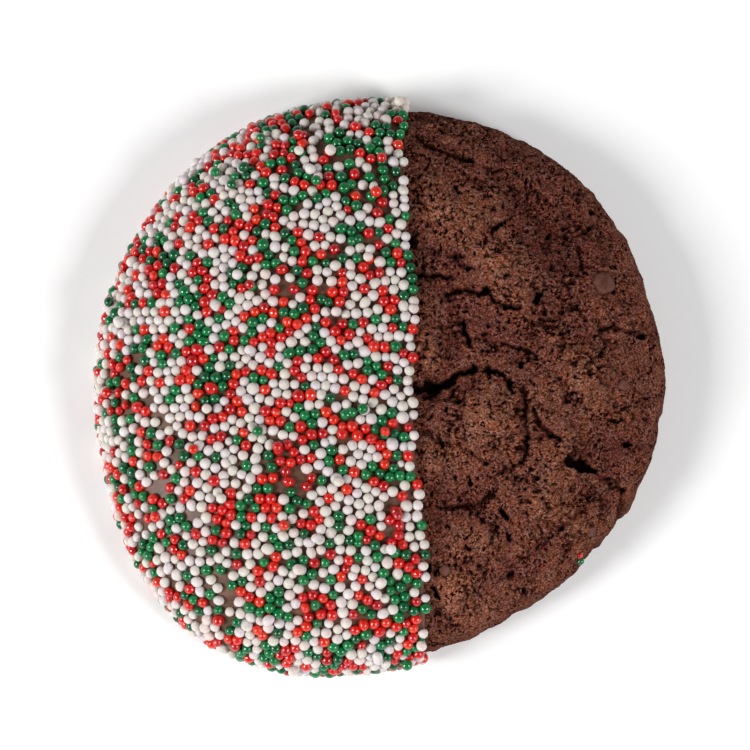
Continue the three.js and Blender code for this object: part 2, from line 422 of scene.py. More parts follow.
crumb = {
    "cells": 50, "footRows": 2,
    "finerSteps": 3,            # how often the bare part's cells are halved
    "undersideSteps": 1,
    "underDipMargin": 1.2,      # how far the finest cells and the next coarser ones go under the dip
    "coarserMargin": 0.6,
    # seen places: x and y as the camera sees them, from the middle of the biscuit
    "cracks": (
        # distance from the middle line to the edge, depth, path
        (0.8, 1.7, ((4.6, -0.5), (7.2, -0.2), (9.2, 0.2), (11, 1.5), (12.9, 2.2))),
        (0.5, 0.9, ((6.2, -1.6), (7.6, -1), (9.3, 0.3))),
        (0.6, 1.2, ((14.9, 2.3), (16.6, 1.7), (17.8, 0.7), (18.5, -0.8))),
        (0.75, 0.8, ((19.8, -0.4), (20.2, -2.4), (19.9, -4.4), (20.5, -6.6), (20.1, -8.8))),
        (0.65, 1, ((4.6, 14.7), (6.6, 15.1), (8, 14.8), (9.9, 15))),
        (0.6, 1, ((8.9, 12.4), (10.2, 13), (12, 12.9), (13.8, 12.5), (15, 12.9))),
        (0.55, 0.9, ((14.8, 12.8), (15.8, 11.7), (17.5, 11), (19.9, 10.7))),
        (0.5, 0.9, ((17.3, 6), (18.6, 5.4), (20.1, 4.9), (22, 3.8))),
        (0.5, 0.8, ((9.2, 17.5), (11.2, 17.8))),
        (0.35, 0.6, ((11.2, 16.9), (12.9, 15.9))),
        (0.55, 1, ((11.6, 9), (12, 7.4), (12.6, 5.6))),
        (0.6, 0.8, ((5.2, 34.4), (6.4, 33.3), (8.6, 32.2), (10.8, 31.8), (13, 31.2))),
        (0.5, 0.7, ((14.7, 29.9), (15.9, 29.6), (17.1, 29.8))),
        (0.9, 0.5, ((18.2, 27.2), (19.6, 25.4), (20.6, 24.2), (22.3, 22.6), (23.6, 20.8), (23, 18.2))),
        (0.4, 0.8, ((15.5, 20.8), (16.5, 21.9), (18.2, 23.2))),
        (0.35, 0.6, ((7.2, 31.2), (6.7, 29.7))),
        (0.5, 0.8, ((32.8, -14.2), (33.2, -16), (32.7, -18.2))),
        (0.45, 0.7, ((29.2, -11.6), (30.2, -12.3), (31.2, -13), (32.5, -14))),
        (0.6, 0.9, ((21.4, -3.4), (22, -5.2), (23.4, -6.3), (24.9, -7.5))),
        (0.55, 0.6, ((21.4, -22.3), (23.2, -21.4), (24.9, -19.4), (26.8, -18), (28.5, -16.2),
                     (29.2, -14.9))),
        (0.35, 0.6, ((30, 1.3), (31.2, 0.2))),
        (0.5, 0.7, ((16.4, -12), (18.2, -11.2), (20, -10.4), (20.4, -8.6))),
        (0.4, 0.6, ((5.9, -6.2), (7.6, -7.2), (9.2, -7.9), (11.8, -8.3), (14.8, -10.6))),
        (0.35, 0.6, ((9.7, -32.6), (11.2, -32.9))),
        (0.55, 0.8, ((8, -16.4), (11.4, -16.5), (13.6, -16), (15.9, -14.8))),
        (0.5, 0.7, ((27.5, 19.2), (28.1, 17.2), (28.4, 15.4))),
        (0.5, 0.8, ((30.3, 7.6), (32.4, 8), (34.4, 7.3), (36.2, 6.8))),
    ),
    "holes": (
        # x, y, length, width, depth, turn in degrees
        (27.4, -10.9, 4.1, 1.8, 2.8, -8), (29.3, 23.8, 1.2, 1, 1.4, 30), (36.1, 6.7, 1.8, 0.9, 1.3, 25),
        (21.9, 12, 2.6, 0.8, 1.5, 50), (18.1, 10.7, 1.8, 0.5, 0.9, 10), (12.5, 16, 1, 0.7, 0.9, 0),
        (16.6, 21.7, 1.6, 0.6, 1.1, 42), (17, -17.5, 2.1, 0.9, 1.4, -48), (15.2, -14.8, 1.6, 0.7, 0.9, 30),
        (17.4, -11.2, 0.9, 0.6, 0.9, 0), (21.5, -12.6, 1.2, 0.5, 0.8, -20), (20.7, -15.8, 0.6, 0.6, 0.8, 0),
        (17.8, -20.8, 0.8, 0.6, 0.9, -30), (12.3, -22.2, 0.8, 0.8, 1, 0), (18, -25.9, 0.8, 0.7, 1, 0),
        (19.9, -28.3, 0.9, 0.7, 1.1, 0), (7.8, -28.2, 1.9, 0.8, 1.2, -55), (8.9, 34.8, 1.4, 0.5, 0.7, -20),
        (32.2, 16.2, 1, 0.8, 1, 30), (31, 11.8, 1.5, 0.4, 0.7, 0), (27, 10.8, 1.3, 0.6, 0.8, 10),
        (33.3, -14.4, 1.4, 0.7, 1, 60), (34.1, -8.2, 1.3, 0.8, 0.9, 20), (36.9, -4.8, 0.9, 0.6, 0.8, 0),
        (36.7, -1.7, 0.8, 0.4, 0.7, 0), (32.4, -4.9, 1, 0.6, 0.8, 0), (26.7, -1.1, 0.6, 0.6, 0.8, 0),
        (14.8, 13, 1.2, 1.2, 1.5, 0), (20.5, -8.2, 0.9, 0.9, 1.2, 0), (4.4, 19.8, 1.6, 1.8, 0.7, 0),
        (12.5, -13.4, 0.9, 0.8, 0.9, 0), (14.8, -10.7, 0.8, 0.7, 0.8, 0), (10.8, 27.2, 0.9, 0.8, 0.8, 60),
        (12.6, 31.4, 1.2, 0.7, 0.8, -20), (19.5, 2.8, 0.9, 0.8, 0.9, 0), (29, -15.3, 1.3, 0.8, 0.9, 20),
        (25, -19.5, 1, 0.8, 0.9, 45), (11.2, -7.9, 1, 0.6, 0.8, -20), (6.9, -25, 0.9, 1.6, 0.9, 0),
        (8.2, -31.2, 1.4, 0.8, 0.8, -40), (9.6, -19.3, 1, 0.5, 0.7, 0), (9.3, -3.4, 1.2, 0.5, 0.9, 40),
        (27.6, 21.4, 1, 0.6, 0.7, 30), (22, 28, 0.9, 0.7, 0.7, 0), (25.5, 27, 0.9, 0.5, 0.7, -30),
    ),
    "knobs": (
        # x, y, radius and rise of smaller lumps on the large ones, and of dips between them
        (7, 4.7, 2, 1.06), (8, 25, 2.6, 0.56), (13, 22.8, 1.5, 0.56), (17.8, 17.6, 2.6, 0.69),
        (20.8, 14.6, 1.1, 0.56), (17.5, 12.8, 1.9, 0.63), (27.8, 3, 2, 0.56), (27.4, 0.2, 1, 0.38),
        (31.5, 14.5, 2.2, 0.31), (15.6, -4.6, 1.8, 0.63), (11.5, -4.5, 2, 0.31), (7.8, -11.6, 1.5, 0.63),
        (22.6, -15.4, 3, 0.5), (33.6, -13.2, 0.9, 0.56), (10.8, -28.4, 2.4, 0.94), (14.8, -21, 1.8, 0.5),
        (23.5, -23.5, 1, 0.44), (27, -19.4, 1.1, 0.5), (10.4, -22, 0.9, 0.38), (8.8, -2.4, 0.9, 0.44),
        (21, 23.8, 2.4, -0.88), (27.8, 17, 1.8, -0.56), (24, 20.5, 2.5, -0.63), (10.5, 16.8, 1.4, -0.5),
        (12, 9.5, 2, -0.63), (10, 4.5, 1.2, -0.75), (7.2, -0.4, 1.3, -0.75), (23.6, -6.4, 1.4, -0.56),
        (20.3, -2.5, 1, -0.56), (33.4, -8, 1.5, -0.56), (36.8, -4.8, 0.9, -0.38), (29.4, -15, 1.2, -0.44),
        (12.5, -16.2, 1.6, -0.63), (8, -18.5, 1.5, -0.56), (22.5, -22, 1.1, -0.56), (24.8, -19.6, 1, -0.5),
        (19.5, -25.3, 1.4, -0.56), (8.5, -31.2, 1.4, -0.5), (7.3, -14.6, 1, -0.5), (7.4, 33.2, 1.5, -0.56),
        (12.8, 31.2, 1.2, -0.44), (19.5, 3.5, 1.3, -0.5), (14.5, 6.5, 1.6, -0.44), (8, 18.5, 1.4, -0.44),
    ),
    # direction in degrees, depth, and how far the step fades out, negative for clockwise
    "notches": ((15.6, 0.35, 6), (-7.3, 0.4, -7), (-30, 0.35, -5), (-37, -0.3, 3), (61, 0.25, 5)),
    "notchLevels": (9, 3),  # height where they start and where they are whole
    "notchLip": 0.3,
    "rimUneven": 0.16, "rimUnevenSize": 3, "rimStretch": (1, 1, 0.3),
    # how far cracks and holes stray from where they are drawn
    "driftSize": 1.7, "crackDrift": 0.42, "holeDrift": 0.12,
    "raggedSize": 0.75, "ragged": 0.26,
    "widthChange": 0.45, "widthChangeSize": 1.3,
    # where their full depth ends and where the surface begins, in shares of the width
    "crackEdge": (0.1, 1.05), "holeEdge": (0.7, 1.15),
    # the relief: rises and depths, the sizes of its bumps, and the widths of the gaps between them
    "broadRise": 0.24, "broadSize": 6,
    "lumpRise": 0.3, "lumpSize": 2.3,
    "clumpDepth": 0.42, "clumpSize": 2.8, "clumpGap": 0.14,
    "clumpBend": 0.7, "clumpBendSize": 1.6,
    "granuleDepth": 0.16, "granuleSize": 1.25, "granuleGap": 0.22,
    "grainDepth": 0.06, "grainSize": 0.6, "grainGap": 0.45,
    "pitDepth": 0.6, "pitSize": 0.66, "pitEdge": (0.36, 0.54),
    # places with more open crumb
    "looseSize": 4, "looseEdge": (-0.3, 0.5), "looseLeast": 0.3, "looseUsual": 0.7, "loosePits": 0.3,
    # where the relief starts beside the dip, its share at the foot, and what it loses underneath
    "reliefStart": (-1.1, -0.5),
    "footCalm": 0.35, "footCalmLevels": (3, 6.5),
    "undersideCalm": 0.75, "undersideTurn": (0.35, 0),
    "topTurn": (0.98, 1),
    "levelEnough": (0.45, 0.8),     # how level the top has to be for a crack to go straight down
    # which depths get painted shade, and which rises get painted light
    "paintedCrackShade": (0.1, 1), "paintedGapShade": (0.22, 0.55), "gapShadeStrength": 0.9,
    "paintedLightShares": (0.6, 1.1, 0.4), "paintedLightLevels": (-0.6, 1.1),
    "footLevels": (5.5, 2.8), "footCover": 0.75,
    # each tone is a position on the noise and the colour there, or what the colour is multiplied by
    "usualTones": ((0.34, srgb(78, 29, 16)), (0.5, srgb(104, 56, 46)), (0.66, srgb(137, 94, 84))),
    # painted light: a lighter, more orange copy of the usual tones for the raised parts
    "paintedLightTones": ((0.34, srgb(102, 49, 28)), (0.5, srgb(136, 84, 64)), (0.66, srgb(168, 125, 106))),
    "footTone": srgb(92, 54, 44),
    "patchTones": ((0.35, (0.84, 0.8, 0.82, 1)), (0.65, (1.08, 1.05, 1, 1))),
    "tintTones": ((0.36, (1.08, 0.94, 0.84, 1)), (0.5, grey(1)), (0.64, (0.92, 1.02, 1.1, 1))),
    # painted shade: the dark end darkens tiny pores to near black; the pale end lightens the grains between
    # them
    "poreShadeTones": ((0.4, (0.03, 0, 0, 1)), (0.45, (0.95, 0.93, 0.93, 1)), (0.58, grey(1)),
                  (0.66, (1.35, 1.42, 1.45, 1))),
    "openTones": ((0.4, grey(0.25)), (0.58, grey(1))),
    # painted shade: the near-black colour of cracks, holes and the deeper gaps between clumps
    "paintedShadeTones": ((0.62, srgb(38, 4, 0)), (1, srgb(14, 4, 3))),
    "speckleSize": 0.26, "poreSize": 0.4, "patchSize": 3.5, "tintSize": 1.6, "openSize": 2.4,
    "roughness": 0.9, "shine": 0.03,
}


def seenPlaces(places):
    # where the camera's ray through a seen place meets the dome
    lean = math.radians(view["leanDegrees"])
    aim = np.array(view["aimMm"])
    eye = aim + np.array((0, -math.sin(lean), math.cos(lean))) * view["distance"] / mm
    offset = np.atleast_2d(np.array(places, float)) - view["seenMiddleMm"]
    level = aim + np.column_stack((offset / (1, math.cos(lean)), np.zeros(len(offset))))
    height = np.full(len(offset), baked["thickness"])
    rounds = 5
    for _ in range(rounds):
        share = (eye[2] - height) / (eye[2] - aim[2])
        places = eye + (level - eye) * share[:, None]
        height = topHeight(places[:, 0], places[:, 1])
    return places[:, :2]


def distanceToPath(flat, path):
    nearest = np.full(len(flat), np.inf)
    for start, end in zip(path, path[1:]):
        along = end - start
        share = np.clip(((flat - start) @ along) / (along @ along), 0, 1)
        nearest = np.minimum(nearest, np.linalg.norm(flat - start - share[:, None] * along, axis=1))
    return nearest


def crackDepth(points):
    # how far cracks and holes go in, with ragged edges
    drift = np.column_stack([softNoise(points, crumb["driftSize"], seed) for seed in (53, 63)])
    ragged = np.column_stack([layeredNoise(points, crumb["raggedSize"], seed, 2) for seed in (51, 61)])
    moved = points[:, :2] + crumb["crackDrift"] * drift + crumb["ragged"] * ragged
    torn = points[:, :2] + crumb["holeDrift"] * drift + crumb["ragged"] * ragged
    uneven = 1 + crumb["widthChange"] * softNoise(points, crumb["widthChangeSize"], seed=55)
    depth = np.zeros(len(points))
    for width, deep, path in crumb["cracks"]:
        away = distanceToPath(moved, seenPlaces(path)) / (width * uneven)
        depth = np.maximum(depth, deep * (1 - smoothStep(*crumb["crackEdge"], away)))
    for x, y, length, width, deep, turn in crumb["holes"]:
        offset = torn - seenPlaces((x, y))[0]
        turned = math.radians(turn)
        along = offset @ (math.cos(turned), math.sin(turned))
        aside = offset @ (-math.sin(turned), math.cos(turned))
        away = np.hypot(along / (length / 2), aside / (width / 2)) / uneven
        depth = np.maximum(depth, deep * (1 - smoothStep(*crumb["holeEdge"], away)))
    return depth


def knobRelief(points):
    height = np.zeros(len(points))
    knobs = np.array(crumb["knobs"])
    for place, (radius, rise) in zip(seenPlaces(knobs[:, :2]), knobs[:, 2:]):
        height += rise * np.exp(-((points[:, :2] - place) ** 2).sum(axis=1) / radius ** 2)
    return height


def refineBareSide(box):
    # cells of the bare part are halved again and again; those under the dip stay coarse
    for step in range(crumb["finerSteps"]):
        centres = np.array([face.calc_center_median() for face in box.faces])
        places = skinPoints(centres, 0, 0)
        coarser = crumb["finerSteps"] - 1 - step
        margin = crumb["underDipMargin"] + crumb["coarserMargin"] * coarser
        bare = places[:, 0] > dipEdge(places) - margin
        aboveUnderside = centres[:, 2] > 0
        wanted = bare & (aboveUnderside | (step < crumb["undersideSteps"]))
        edges = {edge for face, take in zip(box.faces, wanted) if take for edge in face.edges}
        bmesh.ops.subdivide_edges(box, edges=list(edges), cuts=1, use_grid_fill=True)


def crumbGaps(points):
    # the gaps between clumps, granules and grains, and the pits
    patches = smoothStep(*crumb["looseEdge"], softNoise(points, crumb["looseSize"], seed=45))
    loose = crumb["looseLeast"] + (1 - crumb["looseLeast"]) * patches
    bend = [softNoise(points, crumb["clumpBendSize"], seed=70 + axis) for axis in range(3)]
    bent = points + crumb["clumpBend"] * np.column_stack(bend)
    gaps = np.zeros(len(points))
    for kind, places, share, seed in (("clump", bent, loose, 21), ("granule", bent, loose, 23),
                                      ("grain", points, 1, 25)):
        nearest, following = grainNoise(places, crumb[kind + "Size"], seed)
        narrow = 1 - smoothStep(0, crumb[kind + "Gap"], following - nearest)
        gaps += crumb[kind + "Depth"] * share * narrow
    pitted = layeredNoise(points, crumb["pitSize"], seed=41, layers=2)
    pitted += crumb["loosePits"] * (loose - crumb["looseUsual"])
    return gaps + crumb["pitDepth"] * smoothStep(*crumb["pitEdge"], pitted)


def addCrumbRelief(mesh, square):
    smooth = coordinates(mesh)
    normals = vertexNormals(mesh)
    bare = smoothStep(*crumb["reliefStart"], smooth[:, 0] - dipEdge(smooth))
    under = smoothStep(*crumb["undersideTurn"], square[:, 2])
    onTop = smoothStep(*crumb["topTurn"], square[:, 2])
    level = smooth[:, 2] - baked["undersideLevel"]
    calm = crumb["footCalm"] + (1 - crumb["footCalm"]) * smoothStep(*crumb["footCalmLevels"], level)
    broad = crumb["broadRise"] * layeredNoise(smooth, crumb["broadSize"], 11) + knobRelief(smooth) * onTop
    medium = crumb["lumpRise"] * layeredNoise(smooth, crumb["lumpSize"], 15)
    gaps = crumbGaps(smooth)
    sunk = chipPockets(smooth)
    height = broad * (1 - under) + calm * (medium - gaps) * (1 - crumb["undersideCalm"] * under)
    height = height * bare * (1 - sunk) - chips["pocketDepth"] * sunk
    cracks = crackDepth(smooth) * onTop * bare * (1 - sunk)
    upright = smoothStep(*crumb["levelEnough"], normals[:, 2])[:, None]  # cracks go straight down
    inward = normals * (1 - upright) + upright * (0, 0, 1)
    setCoordinates(mesh, smooth + normals * height[:, None] - inward * cracks[:, None])
    # painted shade: how dark the cracks, holes and the deeper gaps between clumps are painted
    paintedGapShade = crumb["gapShadeStrength"] * calm * smoothStep(*crumb["paintedGapShade"], gaps)
    storeAttribute(mesh, "paintedShade", np.maximum(smoothStep(*crumb["paintedCrackShade"], cracks), paintedGapShade))
    # painted light: the higher the lumps and bumps rise, the lighter their colour
    bakedShare, broadShare, mediumShare = crumb["paintedLightShares"]
    raised = bakedShare * lumpRelief(smooth[:, 0], smooth[:, 1]) + broadShare * broad + mediumShare * medium
    storeAttribute(mesh, "crest", smoothStep(*crumb["paintedLightLevels"], raised))
    storeAttribute(mesh, "foot", crumb["footCover"] * smoothStep(*crumb["footLevels"], level) * (1 - under))


chips = {
    "count": 4,
    "width": 1.08,              # of the solid chip's
    "flatness": 0.53,
    "squareness": 4,            # 2 would be a ball
    "corners": 0.07,
    "cornerTurn": (1.4, 1.7),   # of the first, and from each to the next
    "uneven": 0.06, "unevenSize": 0.9,
    "apart": 7,                 # so that no two have the same unevenness
    "fineness": 4,
    "pocketDepth": 0.5,
    "pocketEdge": (0.84, 1.02),     # of the chip's half width, where it is deepest and where it ends
    "pocketRagged": 0.12, "pocketRaggedSize": 0.9,
    "tones": ((0.3, srgb(80, 45, 35)), (0.6, srgb(112, 70, 58))),
    "mottleSize": 0.8,
    "roughness": 0.6, "shine": 0.2,
}


def slopeNormal(x, y, step=0.4):
    places = np.array([(x + step, y), (x - step, y), (x, y + step), (x, y - step)])
    right, left, back, front = topHeight(places[:, 0], places[:, 1])
    return Vector((left - right, front - back, 2 * step)).normalized()


def chipPlaces():
    # middle and half width of each chip, in millimetres, and the slope of the crumb there
    places = []
    for number in range(1, chips["count"] + 1):
        low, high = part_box(f"chocolate_chip_{number}")
        middle = np.array((low + high) / 2) / mm
        places.append((middle, (high.y - low.y) / mm / 2, slopeNormal(*middle[:2])))
    return places


def chipPockets(points):
    # the crumb gives way to each chip, in a ring a little narrower than the chip
    sunk = np.zeros(len(points))
    edge = chips["pocketRagged"] * softNoise(points, chips["pocketRaggedSize"], seed=57)
    for middle, radius, normal in chipPlaces():
        offset = points - middle
        rise = offset @ np.array(normal)
        across = np.sqrt(np.maximum((offset ** 2).sum(axis=1) - rise ** 2, 0)) / radius
        ragged = across / chips["width"] + edge + (rise < -radius)
        sunk = np.maximum(sunk, 1 - smoothStep(*chips["pocketEdge"], ragged))
    return sunk


def notchedOutline(points):
    # small steps in the bare rim, which show in the outline
    out = points[:, :2] - baked["middle"]
    turn = np.degrees(np.arctan2(out[:, 1], out[:, 0]))
    low = smoothStep(*crumb["notchLevels"], points[:, 2])
    pull = np.zeros(len(points))
    for direction, depth, fade in crumb["notches"]:
        past = (turn - direction) / fade
        pull += depth * smoothStep(-crumb["notchLip"], 0.0, past) * np.exp(-np.maximum(past, 0))
    pull += crumb["rimUneven"] * layeredNoise(points * crumb["rimStretch"], crumb["rimUnevenSize"], 91)
    shrink = 1 - low * pull / np.maximum(np.hypot(*out.T), 1)
    return np.column_stack((baked["middle"] + out * shrink[:, None], points[:, 2]))


def crumbMaterial():
    material, tree, shader = newMaterial("baked chocolate crumb")
    speckle = addNoise(tree, crumb["speckleSize"], detail=1.5, roughness=0.6)
    fine = addNoise(tree, crumb["poreSize"], detail=1.2, roughness=0.6)
    # how much painted shade each place gets in its cracks, holes and gaps
    paintedShade = addAttribute(tree, "paintedShade")
    usual = addRamp(tree, speckle, *crumb["usualTones"])
    # painted light: the raised parts take the lighter, more orange tones
    paintedLit = addRamp(tree, speckle, *crumb["paintedLightTones"])
    base = addMix(tree, addAttribute(tree, "crest"), usual, paintedLit)
    patches = addRamp(tree, addNoise(tree, crumb["patchSize"]), *crumb["patchTones"])
    tinting = addNoise(tree, crumb["tintSize"], detail=4, roughness=0.6)
    tints = addRamp(tree, tinting, *crumb["tintTones"])
    patchy = addMix(tree, 1.0, base, patches, "MULTIPLY")
    toned = addMix(tree, 1.0, patchy, tints, "MULTIPLY")
    footed = addMix(tree, addAttribute(tree, "foot"), toned, crumb["footTone"])
    # painted shade in the tiny pores, with the grains between them lightened
    poreShade = addRamp(tree, fine, *crumb["poreShadeTones"])
    openness = addRamp(tree, addNoise(tree, crumb["openSize"], detail=2), *crumb["openTones"])
    pored = addMix(tree, openness, footed, addMix(tree, 1.0, footed, poreShade, "MULTIPLY"))
    # painted shade, near black, in cracks, holes and gaps
    inside = addRamp(tree, paintedShade, *crumb["paintedShadeTones"])
    speckled = addBump(tree, speckle, strength=0.5, distanceMm=0.2)
    rough = addBump(tree, fine, strength=0.8, distanceMm=0.3, under=speckled)
    paint(tree, shader, crumb, addMix(tree, paintedShade, pored, inside), rough)
    return material


def makeCrumb():
    square, faces = squareGrid(crumb["cells"], crumb["footRows"])
    box = bmesh.new()
    corners = [box.verts.new(place) for place in square]
    for face in faces:
        box.faces.new([corners[n] for n in face])
    refineBareSide(box)
    mesh = bpy.data.meshes.new("biscuit_crumb")
    box.to_mesh(mesh)
    box.free()
    square = coordinates(mesh)
    setCoordinates(mesh, notchedOutline(skinPoints(square, 0, 0)))
    addCrumbRelief(mesh, square)
    finishPiece("biscuit_crumb", mesh, crumbMaterial(), ["biscuit"])


makeCrumb()
print("biscuit baked")

coat = {
    "cells": 70, "footRows": 4,
    "thick": 0.55,              # over the biscuit; the rest of the dip's thickness is balls
    "thickUnder": 0.95,
    "wall": 1.1,                # how far the coat's edge goes down into the crumb
    "lipRadius": 0.38,
    "lipCuts": (0, 0.15, 0.35, 0.65, 1),    # where the rounded lip bends, in shares of its radius
    "setBack": 0.25,            # the balls reach over its edge
    "tones": ((0.35, srgb(92, 63, 49)), (0.65, srgb(114, 81, 64))),
    "streakSize": 4, "rippleSize": 0.5,
    "roughness": 0.45, "shine": 0.35,
}


def closedSkin(name, cells, footRows, grow, growUnder):
    square, faces = squareGrid(cells, footRows)
    mesh = bpy.data.meshes.new(name)
    mesh.from_pydata(skinPoints(square, grow, growUnder).tolist(), [], faces)
    mesh.update()
    return mesh


def chocolateMaterial():
    material, tree, shader = newMaterial("dipping chocolate")
    streak = addNoise(tree, coat["streakSize"])
    fine = addNoise(tree, coat["rippleSize"], detail=2)
    streaked = addBump(tree, streak, strength=0.3, distanceMm=0.3)
    rippled = addBump(tree, fine, strength=0.12, distanceMm=0.1, under=streaked)
    paint(tree, shader, coat, addRamp(tree, streak, *coat["tones"]), rippled)
    return material


def cutAtEdge(mesh):
    # cuts off what isn't dipped, and cuts lines along the edge for the lip to bend at
    sheet = bmesh.new()
    sheet.from_mesh(mesh)
    for share in coat["lipCuts"]:
        everything = sheet.verts[:] + sheet.edges[:] + sheet.faces[:]
        place = (-share * coat["lipRadius"], 0, 0)
        bmesh.ops.bisect_plane(sheet, geom=everything, dist=1e-5, plane_co=place, plane_no=(1, 0, 0),
                               clear_outer=share == 0)
    sheet.to_mesh(mesh)
    sheet.free()


def makeCoat():
    mesh = closedSkin("chocolate_coat", coat["cells"], coat["footRows"], coat["thick"], coat["thickUnder"])
    points = coordinates(mesh)
    points[:, 0] += coat["setBack"] - dipEdge(points)  # straightens the edge, for a plane to cut it
    setCoordinates(mesh, points)
    cutAtEdge(mesh)
    points, normals = coordinates(mesh), vertexNormals(mesh)
    toEdge = np.clip(-points[:, 0] / coat["lipRadius"], 0, 1)
    points[:, 0] += dipEdge(points) - coat["setBack"]
    drop = coat["lipRadius"] * (1 - np.sqrt(np.clip(1 - (1 - toEdge) ** 2, 0, 1)))
    outer = points - normals * drop[:, None]
    inner = points - normals * coat["wall"]
    count = len(points)
    faces = [tuple(face.vertices) for face in mesh.polygons]
    sides = {side: True for face in faces for side in zip(face, face[1:] + face[:1])}
    closing = [(b, a, a + count, b + count) for a, b in sides if (b, a) not in sides]
    backs = [tuple(n + count for n in reversed(face)) for face in faces]
    mesh.clear_geometry()
    mesh.from_pydata(np.concatenate((outer, inner)).tolist(), [], faces + backs + closing)
    mesh.update()
    finishPiece("chocolate_coat", mesh, chocolateMaterial(), ["sprinkled_dip"])


makeCoat()
print("chocolate coat set")

balls = {
    "diameter": 1.46,
    "spread": 0.05,             # share by which a usual ball is larger or smaller
    "usualSizes": (0.82, 1.18),
    "oddShare": 0.06, "oddSizes": (0.75, 1.25),
    "cover": 0.84,
    "patchy": 0.12,             # how much the balls crowd in some places and leave others barer
    "patchSize": 9,
    "loose": 1.1,               # how much wider than a ball its place is while they spread out
    "looseRounds": 8,
    "settleRounds": 60,
    "touching": 0.985, "push": 0.42,
    "nearBy": 1.7,              # in diameters, how far off the neighbours are looked for
    "lookEvery": 5,
    "sitting": (0.3, 0.6),      # how high the middle sits over the chocolate, in radii
    "edgeBare": (-0.55, 0.35),  # least and most chocolate left bare along the edge
    "edgeBareSize": 2.6, "edgeBareNoise": (0, 0.6),
    "bedCells": 110, "bedFootRows": 5,
    "onTopShare": 0.013, "onTopAbove": 5, "onTopSizes": (0.9, 1.05),
    "doubleShare": 0.015, "doublePull": 0.3,    # two balls grown together
    "shares": {"white": 0.51, "red": 0.245, "green": 0.245},
    "clusterSize": 5, "clusterPull": 0.9,
    # x, y, height of the middle and radius of those caught on the bare rim
    "strays": ((27.35, -24.5, 5.6, 0.53, "green"), (27.2, -23.75, 6.05, 0.46, "red")),
    "longShare": 0.07, "longBy": (0.12, 0.32),
    "dents": 0.4, "dentWaves": 3.1, "dentTurns": 6.3,
    "seenAbove": 1.6, "seenFineness": 4, "hiddenFineness": 3,
    "clearOfFloor": 0.005,
    # glow is how far red, green and blue light goes in, in shares of lightReach millimetres
    "lightReach": 0.7,
    "looks": {
        "white": {
            "tones": ((224, 206, 202), (221, 211, 205), (218, 212, 201), (219, 208, 211), (228, 219, 214)),
            "roughness": 0.55, "shine": 0.15, "dimples": 0.2, "clearness": 0.9, "glow": (1.8, 1.65, 1.55),
            "size": 0.99, "uneven": 0.035,
        },
        "red": {
            "tones": ((182, 8, 12), (206, 16, 12), (221, 26, 12), (230, 48, 14)),
            "roughness": 0.11, "shine": 1, "dimples": 0.03, "clearness": 0.4, "glow": (1, 0.3, 0.3),
            "size": 1.03, "uneven": 0.045,
        },
        "green": {
            "tones": ((0, 80, 42), (0, 102, 55), (4, 116, 60), (14, 128, 68)),
            "roughness": 0.11, "shine": 0.8, "dimples": 0.03, "clearness": 0.4, "glow": (0.3, 1, 0.5),
            "size": 1, "uneven": 0.035,
        },
    },
    "cloudSize": 0.7, "cloudTones": ((0.3, grey(0.86)), (0.6, grey(1))),
    "dimpleSize": 0.35,
}
random = np.random.default_rng(2024)


def bedTree():
    bed = closedSkin("bed", balls["bedCells"], balls["bedFootRows"], coat["thick"], coat["thickUnder"])
    points, polygons = coordinates(bed), [tuple(face.vertices) for face in bed.polygons]
    bpy.data.meshes.remove(bed)
    return BVHTree.FromPolygons(points.tolist(), polygons), points, polygons


def scatterStart(points, polygons):
    # random places on the dipped part, as many as cover the wanted share of it
    corners = points[np.array(polygons)]
    near, far, other = (corners[:, n] - corners[:, 0] for n in (1, 2, 3))
    areas = (np.linalg.norm(np.cross(near, far), axis=1) + np.linalg.norm(np.cross(far, other), axis=1)) / 2
    centres = corners.mean(axis=1)
    dipped = centres[:, 0] < dipEdge(centres)
    crowding = balls["patchy"] * layeredNoise(centres, balls["patchSize"], seed=97, layers=2)
    weights = areas * dipped * np.exp(crowding)
    ballArea = math.pi * balls["diameter"] ** 2 / 4
    count = int(balls["cover"] * (areas * dipped).sum() / ballArea)
    chosen = random.choice(len(areas), count, p=weights / weights.sum())
    s, t = random.random((2, count, 1))
    quad = corners[chosen]
    return (quad[:, 0] * (1 - s) + quad[:, 1] * s) * (1 - t) + (quad[:, 3] * (1 - s) + quad[:, 2] * s) * t


def treeOf(places):
    tree = KDTree(len(places))
    for n, place in enumerate(places):
        tree.insert(place, n)
    tree.balance()
    return tree


def nearPairs(places, reach):
    tree = treeOf(places)
    return np.array([(n, other) for n, place in enumerate(places)
                     for _, other, _ in tree.find_range(place, reach) if other > n])


def settle(places, radii, bed):
    # overlapping balls push each other apart over the chocolate
    lift = radii * random.uniform(*balls["sitting"], len(radii))
    for turn in range(balls["settleRounds"]):
        if turn % balls["lookEvery"] == 0:
            pairs = nearPairs(places, balls["diameter"] * balls["nearBy"])
        a, b = pairs.T
        apart = places[a] - places[b]
        distance = np.linalg.norm(apart, axis=1) + tiny
        spacing = balls["loose"] if turn < balls["looseRounds"] else balls["touching"]
        overlap = (radii[a] + radii[b]) * spacing - distance
        push = np.where(overlap > 0, overlap * balls["push"], 0)[:, None] * apart / distance[:, None]
        np.add.at(places, a, push)
        np.add.at(places, b, -push)
        waver = softNoise(places * (0, 1, 1), balls["edgeBareSize"], seed=87)
        bare = np.interp(waver, balls["edgeBareNoise"], balls["edgeBare"])
        past = places[:, 0] + radii - (dipEdge(places) - bare)
        places[:, 0] -= np.maximum(past, 0)
        found = np.array([bed.find_nearest(place)[:2] for place in places])
        feet, normals = found[:, 0], found[:, 1]
        places = feet + normals * lift[:, None]
        places[:, 2] = np.maximum(places[:, 2], radii)
    return places, normals


